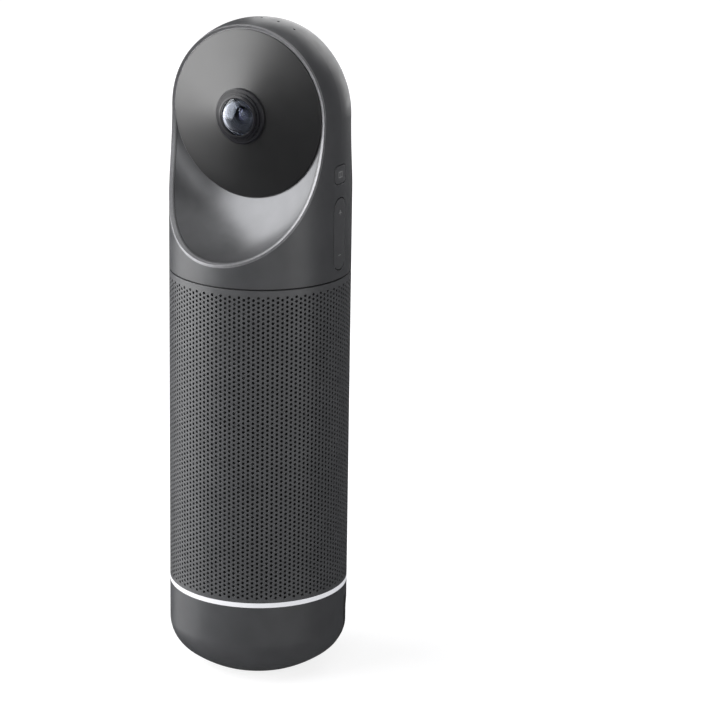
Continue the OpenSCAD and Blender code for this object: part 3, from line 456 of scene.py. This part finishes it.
class GrilleSection:
    """Part of the grille: a curved sheet with real holes, closed at its ends."""

    def __init__(self, first_column, columns):
        self.first = first_column
        self.columns = columns
        self.points, self.faces = [], []
        self.index = {}

    def turn(self, half_columns):
        return (self.first - 0.5 + half_columns / 2) * COLUMN_TURN

    def height(self, level):
        if level == TOP:
            return GRILLE_HIGH.z
        if level == BOTTOM:
            return GRILLE_LOW.z
        return GRILLE_HIGH.z - TOP_MARGIN - level * HALF_PITCH

    def spot(self, outside, turn, height):
        radius = COLUMN_R if outside else GRILLE_IN_R
        return (radius * math.sin(turn), -radius * math.cos(turn), height)

    def vertex(self, key, outside, turn, height):
        if (key, outside) not in self.index:
            self.index[key, outside] = len(self.points)
            self.points.append(self.spot(outside, turn, height))
        return self.index[key, outside]

    def corner(self, outside, half_columns, level):
        return self.vertex((half_columns, level), outside, self.turn(half_columns), self.height(level))

    def rim(self, outside, column, level, side):
        across, up = CELL[side]
        length = math.hypot(across, up)
        radius = COLUMN_R if outside else GRILLE_IN_R
        turn = self.turn(2 * column + 1) + math.asin(HOLE_R * across / length / radius)
        height = self.height(level) + HOLE_R * up / length
        return self.vertex(("rim", column, level, side), outside, turn, height)

    def sheet(self, keys):
        """A face on the outside and its twin on the inside."""
        for outside in (True, False):
            face = [self.corner(outside, *key) for key in keys]
            self.faces.append(face if outside else face[::-1])

    def cell(self, column, level):
        middle = 2 * column + 1
        for side in range(len(CELL)):
            after = (side + 1) % len(CELL)
            for outside in (True, False):
                ends = [(middle + CELL[s][0], level - CELL[s][1]) for s in (side, after)]
                face = [self.corner(outside, *ends[0]), self.corner(outside, *ends[1])]
                face += [self.rim(outside, column, level, after), self.rim(outside, column, level, side)]
                self.faces.append(face if outside else face[::-1])
            wall = [self.rim(True, column, level, side), self.rim(True, column, level, after)]
            wall += [self.rim(False, column, level, after), self.rim(False, column, level, side)]
            self.faces.append(wall)

    def bands(self, column, low):
        """The plain strips above and below a column's holes; low is 1 on the lowered columns."""
        left, middle, right = 2 * column, 2 * column + 1, 2 * column + 2
        steps = [-1, 0][: low + 1]
        self.sheet([(left, TOP), *((left, s) for s in steps), (middle, low - 1), (middle, TOP)])
        self.sheet([(middle, TOP), (middle, low - 1), *((right, s) for s in steps[::-1]), (right, TOP)])
        steps = [LAST_LEVEL - 1, LAST_LEVEL][1 - low :]
        last = (middle, LAST_LEVEL - low)
        self.sheet([*((left, s) for s in steps), (left, BOTTOM), (middle, BOTTOM), last])
        self.sheet([last, (middle, BOTTOM), (right, BOTTOM), *((right, s) for s in steps[::-1])])

    def ends(self):
        """The thickness of the sheet along its top, bottom and both sides."""
        for step in range(2 * self.columns):
            for level, way in ((TOP, 1), (BOTTOM, -1)):
                pair = [(step, level), (step + 1, level)][::way]
                self.strip(*pair)
        levels = [TOP, *range(-1, LAST_LEVEL + 1), BOTTOM]
        for one, two in zip(levels, levels[1:]):
            self.strip((0, two), (0, one))
            self.strip((2 * self.columns, one), (2 * self.columns, two))

    def strip(self, one, two):
        self.faces.append([self.corner(False, *one), self.corner(True, *one),
                           self.corner(True, *two), self.corner(False, *two)])

    def build(self, name):
        for column in range(self.columns):
            low = (self.first + column) % 2
            for level in range(low, LAST_LEVEL - low, 2):
                self.cell(column, level)
            self.bands(column, low)
        self.ends()
        piece = add_piece(name, self.points, self.faces, FINISHES["grille"], "column")
        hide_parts("grille")
        return piece


def build_grille():
    half = COLUMNS // 2
    GrilleSection(-half // 2, half).build("grille_front")
    GrilleSection(half // 2, half).build("grille_rear")


# ------------------------------------------------------------ network port

LAN_LOW, LAN_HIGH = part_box("lan_port")
LAN_X = (LAN_LOW.x + LAN_HIGH.x) / 2
PLUG_HALF = 5.93 * MM
PLUG_FLOOR = 1.22 * MM
PLUG_CEILING = 9.18 * MM
LINER = 0.2 * MM
PLUG_DEPTH = 13.8 * MM
CONTACTS = 8
CONTACT_PITCH = 1.02 * MM
CONTACT_W = 0.45 * MM
CONTACT_T = 0.25 * MM
CONTACT_INSET = 2.5 * MM
LINER_INSET = 0.3 * MM


def box_points(low, high):
    return [(x, y, z) for x in (low[0], high[0]) for y in (low[1], high[1]) for z in (low[2], high[2])]


BOX_FACES = [[0, 1, 3, 2], [4, 6, 7, 5], [0, 4, 5, 1], [2, 3, 7, 6], [0, 2, 6, 4], [1, 5, 7, 3]]


def boxes(name, corners, finish, body):
    """Several boxes, each between a low and a high corner, as one piece."""
    points, faces = [], []
    for low, high in corners:
        start = len(points)
        points += box_points(low, high)
        faces += [[start + i for i in face] for face in BOX_FACES]
    return add_piece(name, points, faces, finish, body)


def build_network_port():
    """Black lining of the socket and its spring contacts."""
    back, mouth = LAN_HIGH.y - PLUG_DEPTH, LAN_HIGH.y - LINER_INSET
    low, high = LAN_LOW.z + PLUG_FLOOR, LAN_LOW.z + PLUG_CEILING
    left, right = LAN_X - PLUG_HALF, LAN_X + PLUG_HALF
    lining = [((left, back, low), (left + LINER, mouth, high)),
              ((right - LINER, back, low), (right, mouth, high)),
              ((left + LINER, back, low), (right - LINER, mouth, low + LINER)),
              ((left + LINER, back, low + LINER), (right - LINER, back + LINER, high))]
    boxes("network_port_lining", lining, FINISHES["black_plastic"], "column")
    springs = []
    for i in range(CONTACTS):
        x = LAN_X + (i - (CONTACTS - 1) / 2) * CONTACT_PITCH
        springs.append(((x - CONTACT_W / 2, back + LINER, low + LINER),
                        (x + CONTACT_W / 2, mouth - CONTACT_INSET, low + LINER + CONTACT_T)))
    boxes("network_contacts", springs, GOLD, "column")


# ------------------------------------------------------------ behind the glass


def revolve(name, side, profile, steps, finish, body, sharp=40):
    """A closed profile of (radius, distance from the middle plane), turned round the lens axis."""
    points, faces = [], []
    for i in range(steps):
        turn = 2 * math.pi * i / steps
        points += [(r * math.cos(turn), side * s, LENS_Z + r * math.sin(turn)) for r, s in profile]
    count = len(profile)
    for i in range(steps):
        here, there = i * count, (i + 1) % steps * count
        for j in range(count):
            k = (j + 1) % count
            face = [here + j, here + k, there + k, there + j]
            faces.append(face if side > 0 else face[::-1])
    return add_piece(name, points, faces, finish, body, sharp)


# Marks on the buttons: (sideways from the middle, up from the middle, width, height) of each stroke
MARK_SINK = 0.05 * MM
MARK_RISE = 0.012 * MM
STROKE = 0.35 * MM
MARK_HALF = 1.2 * MM
MARK_SLICES = 4
MARK_INSET = 6.5 * MM
PLUS = [(0, 0, 2 * MARK_HALF, STROKE), (0, 0, STROKE, 2 * MARK_HALF)]
MINUS = [(0, 0, 2 * MARK_HALF, STROKE)]
FRAME = [(0, 1.2 * MM, 3.4 * MM, STROKE), (0, -1.2 * MM, 3.4 * MM, STROKE),
         (-1.53 * MM, 0, STROKE, 2.1 * MM), (1.53 * MM, 0, STROKE, 2.1 * MM), (0, 0, STROKE, 2.1 * MM)]


def button_mark(name, strokes, height, body):
    """Thin strokes bent round the column, sunk a little into the cap."""
    points, faces = [], []
    for sideways, up, width, tall in strokes:
        start = len(points)
        for i in range(MARK_SLICES + 1):
            turn = (sideways + width * (i / MARK_SLICES - 0.5)) / COLUMN_R
            for radius in (COLUMN_R - MARK_SINK, COLUMN_R + MARK_RISE):
                for z in (height + up - tall / 2, height + up + tall / 2):
                    points.append((radius * math.cos(turn), radius * math.sin(turn), z))
        for i in range(MARK_SLICES):
            a, b = start + 4 * i, start + 4 * i + 4
            faces += [[a + 2, b + 2, b + 3, a + 3], [a, a + 1, b + 1, b],
                      [a, b, b + 2, a + 2], [a + 1, a + 3, b + 3, b + 1]]
        a, b = start, start + 4 * MARK_SLICES
        faces += [[a, a + 2, a + 3, a + 1], [b, b + 1, b + 3, b + 2]]
    return add_piece(name, points, faces, INK, body)


def build_button_marks():
    rocker_middle = (ROCKER_LOW.z + ROCKER_HIGH.z) / 2
    reach = (ROCKER_HIGH.z - ROCKER_LOW.z) / 2 - MARK_INSET
    button_mark("mode_mark", FRAME, (MODE_LOW.z + MODE_HIGH.z) / 2, "mode_button")
    button_mark("louder_mark", PLUS, rocker_middle + reach, "volume_rocker")
    button_mark("quieter_mark", MINUS, rocker_middle - reach, "volume_rocker")


# The baffle steps in from the barrel to the opening of the small lens
BAFFLE_OUT = 7.2 * MM
BAFFLE_IN = 4.0 * MM
BAFFLE_TOP = GLASS_TIP - 6.8 * MM
BAFFLE_DEPTH = 2.4 * MM
BAFFLE_STEPS = 4
BAFFLE_FLOOR = 0.9 * MM
INNER_RISE = 2.2 * MM
HOLLOW = 0.02 * MM


def baffle_profile():
    """Outer wall, floor, and the steps back up."""
    low = BAFFLE_TOP - BAFFLE_DEPTH
    profile = [(BAFFLE_OUT, BAFFLE_TOP), (BAFFLE_OUT, low - BAFFLE_FLOOR), (BAFFLE_IN, low - BAFFLE_FLOOR)]
    width = (BAFFLE_OUT - BAFFLE_IN - 0.4 * MM) / BAFFLE_STEPS
    height = BAFFLE_DEPTH / BAFFLE_STEPS
    for i in range(BAFFLE_STEPS):
        profile.append((BAFFLE_IN + i * width, low + i * height))
        profile.append((BAFFLE_IN + i * width, low + (i + 1) * height))
    profile.append((BAFFLE_IN + BAFFLE_STEPS * width, BAFFLE_TOP))
    return profile


def inner_lens_profile():
    low = BAFFLE_TOP - BAFFLE_DEPTH
    radius = BAFFLE_IN - 0.1 * MM
    arc = []
    for i in range(13):
        share = i / 12
        arc.append((HOLLOW + radius * share, low + INNER_RISE * (1 - share * share) - 0.6 * MM))
    return [(HOLLOW, low - 1.4 * MM), *arc, (radius, low - 1.4 * MM)]


def build_lens_insides():
    for name, side in (("front", -1), ("rear", 1)):
        revolve(name + "_baffle", side, baffle_profile(), 96, BAFFLE_BLACK, "column")
        revolve(name + "_inner_lens", side, inner_lens_profile(), 64, INNER_GLASS, "column")


# ------------------------------------------------------------ stage, light and camera


def towards(azimuth, elevation):
    """The direction from the object to something at that azimuth and elevation, in degrees."""
    a, e = math.radians(azimuth), math.radians(elevation)
    return Vector((math.sin(a) * math.cos(e), -math.cos(a) * math.cos(e), math.sin(e)))


def softbox(name, azimuth, elevation, distance, width, height, brightness, roll=0.0, aim=LENS_Z):
    """A rectangular light facing the column at the height aim."""
    lamp = bpy.data.lights.new(name, "AREA")
    lamp.shape = "RECTANGLE"
    lamp.size, lamp.size_y = width, height
    lamp.energy = brightness * math.pi * width * height
    light = bpy.data.objects.new(name, lamp)
    bpy.context.scene.collection.objects.link(light)
    back = towards(azimuth, elevation)
    light.rotation_mode = "QUATERNION"
    turned = (-back).to_track_quat("-Z", "Y")
    light.rotation_quaternion = turned @ Matrix.Rotation(math.radians(roll), 3, "Z").to_quaternion()
    light.location = Vector((0, 0, aim)) + back * distance
    return light


def add_lights():
    softbox("key_softbox", -59, 20, 1.15, 1.56, 1.5, 6.2)
    softbox("low_left", -76, -14, 0.75, 0.75, 0.4, 0.75, aim=GRILLE_LOW.z)
    softbox("front_strip", 16, 25, 1.1, 0.06, 0.85, 9.0, roll=38)
    softbox("right_fill", 64, 8, 1.3, 2.0, 1.9, 0.4)
    softbox("right_panel", 78, 12, 1.25, 0.45, 1.2, 1.6)
    softbox("back_panel", 186, 15, 1.3, 1.3, 1.2, 1.8)
    softbox("top_panel", 0, 88, 1.25, 1.5, 1.5, 0.9)


def plain(name, colour, glow_range):
    """Stage material: matt, with a little light of its own so that it stays pale."""
    made = Finish(name, colour, roughness=0.9)
    made.mottle(0.4, 0.01)
    distance = made.add("ShaderNodeVectorMath", operation="LENGTH")
    made.link(made.place, distance.inputs[0])
    near, far = glow_range
    glow = made.span(distance.outputs["Value"], 0.08, 0.4, near, far)
    made.link(glow, made.shader.inputs["Emission Strength"])
    made.shader.inputs["Emission Color"].default_value = (1, 1, 1, 1)
    made.set(Specular_IOR_Level=0.0)
    return made


STAGE_R = 6.0
STAGE_STEPS = 96
FLOOR_GAP = 0.02 * MM


def stage_mesh(name, points, faces, finish):
    mesh = bpy.data.meshes.new(name)
    mesh.from_pydata(points, [], faces)
    mesh.materials.append(finish.material)
    made = bpy.data.objects.new(name, mesh)
    bpy.context.scene.collection.objects.link(made)
    return made


def stage_point(radius, step, height):
    turn = 2 * math.pi * step / STAGE_STEPS
    return (radius * math.cos(turn), radius * math.sin(turn), height)


def disc(name, radius, height, finish):
    ring = [stage_point(radius, i, height) for i in range(STAGE_STEPS)]
    return stage_mesh(name, ring, [list(range(STAGE_STEPS))], finish)


def drum(name, radius, low, high, finish):
    """A wall round the stage, seen only by the camera."""
    points, faces = [], []
    for i in range(STAGE_STEPS):
        points += [stage_point(radius, i, z) for z in (low, high)]
        after = (i + 1) % STAGE_STEPS
        faces.append([2 * i, 2 * i + 1, 2 * after + 1, 2 * after])
    made = stage_mesh(name, points, faces, finish)
    made.visible_diffuse = made.visible_glossy = made.visible_transmission = made.visible_shadow = False
    return made


def add_stage():
    pale = plain("pale_floor", (0.25, 0.25, 0.255), (0.82, 0.97))
    floor = disc("floor", STAGE_R, CAD_BOX[0].z - FLOOR_GAP, pale)
    floor.visible_glossy = False
    floor.visible_shadow = False
    drum("backdrop", STAGE_R, -3.0, 9.0, plain("pale_backdrop", (0.1, 0.1, 0.1), (1.0, 1.0)))
    world = bpy.data.worlds.new("studio")
    world.use_nodes = True
    world.node_tree.nodes["Background"].inputs["Color"].default_value = (0.05, 0.05, 0.052, 1)
    bpy.context.scene.world = world
    bpy.context.scene.view_settings.view_transform = "Standard"


CAMERA_AZIMUTH = 28.97
CAMERA_ELEVATION = 16.84
CAMERA_ROLL = 0.92
CAMERA_DISTANCE = 1340.66 * MM
CAMERA_LENS = 147.24
AIM_ABOVE_RING = 103.71 * MM
AIM_RIGHT = 45.63 * MM


def add_camera():
    back = towards(CAMERA_AZIMUTH, CAMERA_ELEVATION)
    level = Vector((0, 0, 1)).cross(back).normalized()
    above = back.cross(level)
    roll = math.radians(CAMERA_ROLL)
    right = math.cos(roll) * level + math.sin(roll) * above
    up = -math.sin(roll) * level + math.cos(roll) * above
    ring_z = (RING_LOW.z + RING_HIGH.z) / 2
    aim = Vector((0, 0, ring_z + AIM_ABOVE_RING)) + right * AIM_RIGHT
    data = bpy.data.cameras.new("camera")
    data.lens = CAMERA_LENS
    data.clip_start, data.clip_end = 0.05, 50
    camera = bpy.data.objects.new("camera", data)
    bpy.context.scene.collection.objects.link(camera)
    camera.matrix_world = Matrix((
        (right.x, up.x, back.x, 0), (right.y, up.y, back.y, 0), (right.z, up.z, back.z, 0), (0, 0, 0, 1)))
    camera.location = aim + back * CAMERA_DISTANCE
    bpy.context.scene.camera = camera


# ------------------------------------------------------------ the whole scene

add_camera()
finish_cad_nodes()
build_grille()
build_button_marks()
build_network_port()
build_lens_insides()
add_lights()
add_stage()
